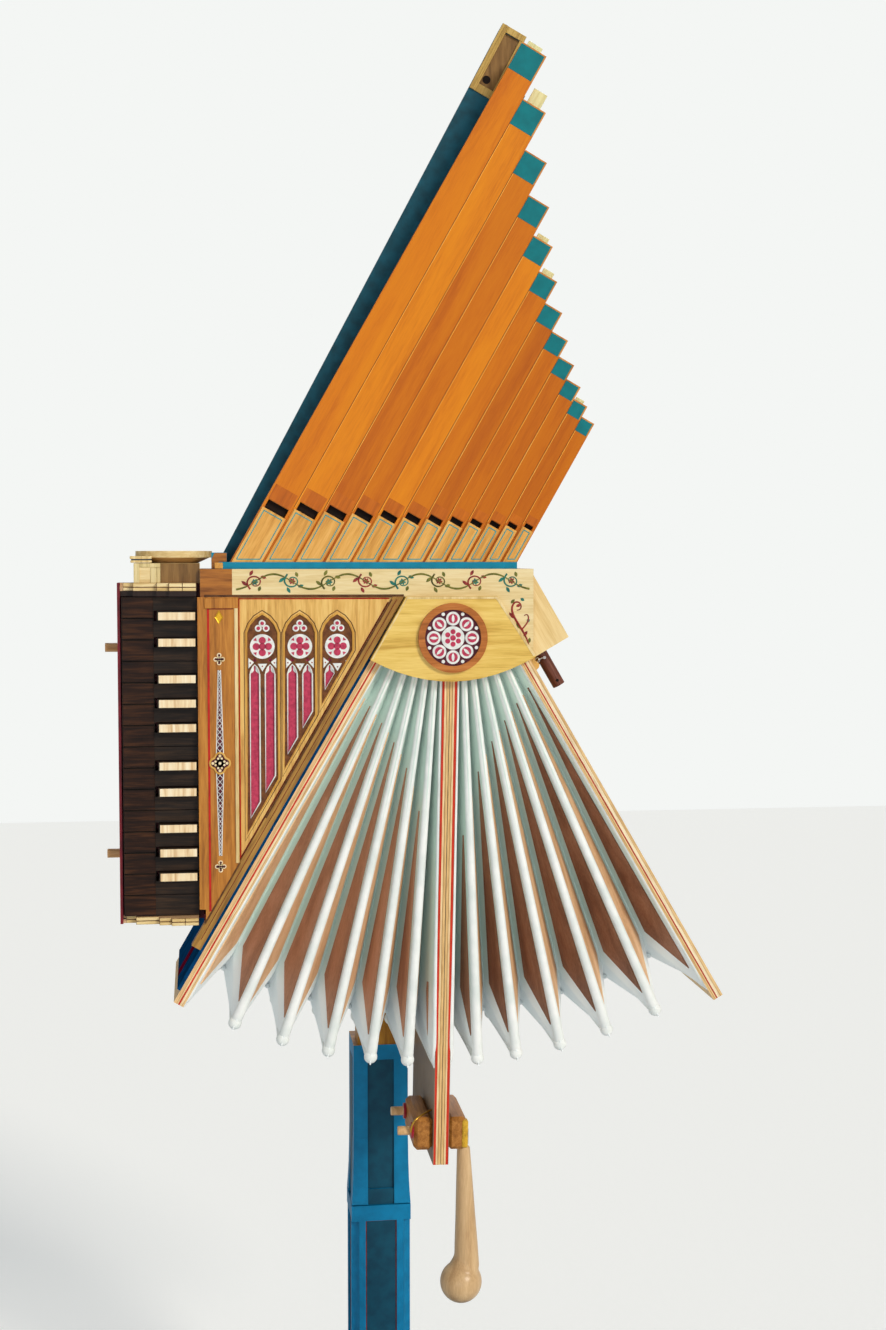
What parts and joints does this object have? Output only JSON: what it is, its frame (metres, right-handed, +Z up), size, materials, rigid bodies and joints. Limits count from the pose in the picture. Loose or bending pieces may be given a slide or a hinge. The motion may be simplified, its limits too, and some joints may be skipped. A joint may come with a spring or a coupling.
{
  "type": "portative organ on a floor stand",
  "caption": "Small portative pipe organ with a painted front, two slanted rows of wooden pipes, a side keyboard, twin fan bellows and a swinging pump board, on a column stand.",
  "frame": {"origin": "on the floor, under the axis of the stand's column", "axes": "+Z up, +X to the right of the painted front, +Y away from the painted front"},
  "size_m": [0.6694, 0.47, 1.7726],
  "materials": {
    "blue_paint": "satin",
    "chest_wood": "satin",
    "frieze_paint": "satin",
    "panel_paint": "satin",
    "tracery_paint": "satin",
    "pilaster_paint": "satin",
    "rail_wood": "satin",
    "cover_paint": "satin",
    "board_wood": "satin",
    "steel": "polished",
    "rosette_wood": "satin",
    "maple": "satin",
    "walnut": "satin",
    "pipe_wood": "satin",
    "cap_wood": "satin",
    "bellows_leather": "matte",
    "ochre_wood": "satin",
    "handle_wood": "satin",
    "key_wood": "satin",
    "sharp_wood": "satin"
  },
  "bodies": {
    "stand": {"stand_base": "blue_paint", "stand_sleeve": "blue_paint"},
    "instrument": {"wind_chest": "chest_wood", "frieze_board": "frieze_paint", "toe_board": "blue_paint", "window_panel": "panel_paint", "window_tracery": "tracery_paint", "pilaster": "pilaster_paint", "diagonal_rail": "rail_wood", "backing_board": "blue_paint", "hinge_cover": "cover_paint", "back_cover": "board_wood", "hinge_pin": "steel", "rosette": "rosette_wood", "left_bellows_board": "board_wood", "right_bellows_board": "board_wood", "wind_box": "maple", "key_frame": "maple", "key_cheeks": "maple", "key_pivot_rod": "steel", "pallet_box": "maple", "strap_pegs": "maple", "hand_rest": "walnut", "front_pipes": "pipe_wood", "rear_pipes": "pipe_wood", "pipe_caps": "cap_wood", "latch_bracket": "walnut", "left_bellows": "bellows_leather", "right_bellows": "bellows_leather", "stand_column": "ochre_wood"},
    "pump": {"pump_boards": "board_wood", "pump_block": "maple", "handle_eye": "steel"},
    "handle": {"pump_handle": "handle_wood"},
    "toggle": {"latch_toggle": "walnut"},
    "key_01": {"key_01": "key_wood"},
    "key_02": {"key_02": "sharp_wood"},
    "key_03": {"key_03": "key_wood"},
    "key_04": {"key_04": "sharp_wood"},
    "key_05": {"key_05": "key_wood"},
    "key_06": {"key_06": "key_wood"},
    "key_07": {"key_07": "sharp_wood"},
    "key_08": {"key_08": "key_wood"},
    "key_09": {"key_09": "sharp_wood"},
    "key_10": {"key_10": "key_wood"},
    "key_11": {"key_11": "sharp_wood"},
    "key_12": {"key_12": "key_wood"},
    "key_13": {"key_13": "key_wood"},
    "key_14": {"key_14": "sharp_wood"},
    "key_15": {"key_15": "key_wood"},
    "key_16": {"key_16": "sharp_wood"},
    "key_17": {"key_17": "key_wood"},
    "key_18": {"key_18": "key_wood"},
    "key_19": {"key_19": "sharp_wood"},
    "key_20": {"key_20": "key_wood"},
    "key_21": {"key_21": "sharp_wood"},
    "key_22": {"key_22": "key_wood"},
    "key_23": {"key_23": "sharp_wood"},
    "key_24": {"key_24": "key_wood"},
    "key_25": {"key_25": "key_wood"}
  },
  "joints": [
    {"name": "stand_height", "type": "slide", "parent": "stand", "child": "instrument", "axis": [0, 0, 1], "range_m": [0, 0.14]},
    {"name": "pump_swing", "type": "hinge", "parent": "instrument", "child": "pump", "pos_m": [0.053, -0.17, 1.1097], "axis": [0, 1, 0], "range_deg": [-20, 20], "deforming": ["left_bellows", "right_bellows"]},
    {"name": "handle_swing", "type": "hinge", "parent": "pump", "child": "handle", "pos_m": [0.07563, -0.205, 0.54316], "axis": [0, -1, 0], "range_deg": [-2, 95]},
    {"name": "toggle_turn", "type": "hinge", "parent": "instrument", "child": "toggle", "pos_m": [0.16897, -0.185, 1.08289], "axis": [0, -1, 0], "range_deg": [0, 100]},
    {"name": "key_01_press", "type": "hinge", "parent": "instrument", "child": "key_01", "pos_m": [-0.2055, -0.2525, 1.14706], "axis": [0, 0, -1], "range_deg": [0, 5], "stiffness_Nm_per_rad": 0.5, "springref_deg": -11.46},
    {"name": "key_02_press", "type": "hinge", "parent": "instrument", "child": "key_02", "pos_m": [-0.2055, -0.2525, 1.13359], "axis": [0, 0, -1], "range_deg": [0, 5], "stiffness_Nm_per_rad": 0.5, "springref_deg": -11.46},
    {"name": "key_03_press", "type": "hinge", "parent": "instrument", "child": "key_03", "pos_m": [-0.2055, -0.2525, 1.12011], "axis": [0, 0, -1], "range_deg": [0, 5], "stiffness_Nm_per_rad": 0.5, "springref_deg": -11.46},
    {"name": "key_04_press", "type": "hinge", "parent": "instrument", "child": "key_04", "pos_m": [-0.2055, -0.2525, 1.10663], "axis": [0, 0, -1], "range_deg": [0, 5], "stiffness_Nm_per_rad": 0.5, "springref_deg": -11.46},
    {"name": "key_05_press", "type": "hinge", "parent": "instrument", "child": "key_05", "pos_m": [-0.2055, -0.2525, 1.09316], "axis": [0, 0, -1], "range_deg": [0, 5], "stiffness_Nm_per_rad": 0.5, "springref_deg": -11.46},
    {"name": "key_06_press", "type": "hinge", "parent": "instrument", "child": "key_06", "pos_m": [-0.2055, -0.2525, 1.07968], "axis": [0, 0, -1], "range_deg": [0, 5], "stiffness_Nm_per_rad": 0.5, "springref_deg": -11.46},
    {"name": "key_07_press", "type": "hinge", "parent": "instrument", "child": "key_07", "pos_m": [-0.2055, -0.2525, 1.06621], "axis": [0, 0, -1], "range_deg": [0, 5], "stiffness_Nm_per_rad": 0.5, "springref_deg": -11.46},
    {"name": "key_08_press", "type": "hinge", "parent": "instrument", "child": "key_08", "pos_m": [-0.2055, -0.2525, 1.05273], "axis": [0, 0, -1], "range_deg": [0, 5], "stiffness_Nm_per_rad": 0.5, "springref_deg": -11.46},
    {"name": "key_09_press", "type": "hinge", "parent": "instrument", "child": "key_09", "pos_m": [-0.2055, -0.2525, 1.03925], "axis": [0, 0, -1], "range_deg": [0, 5], "stiffness_Nm_per_rad": 0.5, "springref_deg": -11.46},
    {"name": "key_10_press", "type": "hinge", "parent": "instrument", "child": "key_10", "pos_m": [-0.2055, -0.2525, 1.02578], "axis": [0, 0, -1], "range_deg": [0, 5], "stiffness_Nm_per_rad": 0.5, "springref_deg": -11.46},
    {"name": "key_11_press", "type": "hinge", "parent": "instrument", "child": "key_11", "pos_m": [-0.2055, -0.2525, 1.0123], "axis": [0, 0, -1], "range_deg": [0, 5], "stiffness_Nm_per_rad": 0.5, "springref_deg": -11.46},
    {"name": "key_12_press", "type": "hinge", "parent": "instrument", "child": "key_12", "pos_m": [-0.2055, -0.2525, 0.99883], "axis": [0, 0, -1], "range_deg": [0, 5], "stiffness_Nm_per_rad": 0.5, "springref_deg": -11.46},
    {"name": "key_13_press", "type": "hinge", "parent": "instrument", "child": "key_13", "pos_m": [-0.2055, -0.2525, 0.98535], "axis": [0, 0, -1], "range_deg": [0, 5], "stiffness_Nm_per_rad": 0.5, "springref_deg": -11.46},
    {"name": "key_14_press", "type": "hinge", "parent": "instrument", "child": "key_14", "pos_m": [-0.2055, -0.2525, 0.97187], "axis": [0, 0, -1], "range_deg": [0, 5], "stiffness_Nm_per_rad": 0.5, "springref_deg": -11.46},
    {"name": "key_15_press", "type": "hinge", "parent": "instrument", "child": "key_15", "pos_m": [-0.2055, -0.2525, 0.9584], "axis": [0, 0, -1], "range_deg": [0, 5], "stiffness_Nm_per_rad": 0.5, "springref_deg": -11.46},
    {"name": "key_16_press", "type": "hinge", "parent": "instrument", "child": "key_16", "pos_m": [-0.2055, -0.2525, 0.94492], "axis": [0, 0, -1], "range_deg": [0, 5], "stiffness_Nm_per_rad": 0.5, "springref_deg": -11.46},
    {"name": "key_17_press", "type": "hinge", "parent": "instrument", "child": "key_17", "pos_m": [-0.2055, -0.2525, 0.93145], "axis": [0, 0, -1], "range_deg": [0, 5], "stiffness_Nm_per_rad": 0.5, "springref_deg": -11.46},
    {"name": "key_18_press", "type": "hinge", "parent": "instrument", "child": "key_18", "pos_m": [-0.2055, -0.2525, 0.91797], "axis": [0, 0, -1], "range_deg": [0, 5], "stiffness_Nm_per_rad": 0.5, "springref_deg": -11.46},
    {"name": "key_19_press", "type": "hinge", "parent": "instrument", "child": "key_19", "pos_m": [-0.2055, -0.2525, 0.90449], "axis": [0, 0, -1], "range_deg": [0, 5], "stiffness_Nm_per_rad": 0.5, "springref_deg": -11.46},
    {"name": "key_20_press", "type": "hinge", "parent": "instrument", "child": "key_20", "pos_m": [-0.2055, -0.2525, 0.89102], "axis": [0, 0, -1], "range_deg": [0, 5], "stiffness_Nm_per_rad": 0.5, "springref_deg": -11.46},
    {"name": "key_21_press", "type": "hinge", "parent": "instrument", "child": "key_21", "pos_m": [-0.2055, -0.2525, 0.87754], "axis": [0, 0, -1], "range_deg": [0, 5], "stiffness_Nm_per_rad": 0.5, "springref_deg": -11.46},
    {"name": "key_22_press", "type": "hinge", "parent": "instrument", "child": "key_22", "pos_m": [-0.2055, -0.2525, 0.86407], "axis": [0, 0, -1], "range_deg": [0, 5], "stiffness_Nm_per_rad": 0.5, "springref_deg": -11.46},
    {"name": "key_23_press", "type": "hinge", "parent": "instrument", "child": "key_23", "pos_m": [-0.2055, -0.2525, 0.85059], "axis": [0, 0, -1], "range_deg": [0, 5], "stiffness_Nm_per_rad": 0.5, "springref_deg": -11.46},
    {"name": "key_24_press", "type": "hinge", "parent": "instrument", "child": "key_24", "pos_m": [-0.2055, -0.2525, 0.83711], "axis": [0, 0, -1], "range_deg": [0, 5], "stiffness_Nm_per_rad": 0.5, "springref_deg": -11.46},
    {"name": "key_25_press", "type": "hinge", "parent": "instrument", "child": "key_25", "pos_m": [-0.2055, -0.2525, 0.82364], "axis": [0, 0, -1], "range_deg": [0, 5], "stiffness_Nm_per_rad": 0.5, "springref_deg": -11.46}
  ]
}
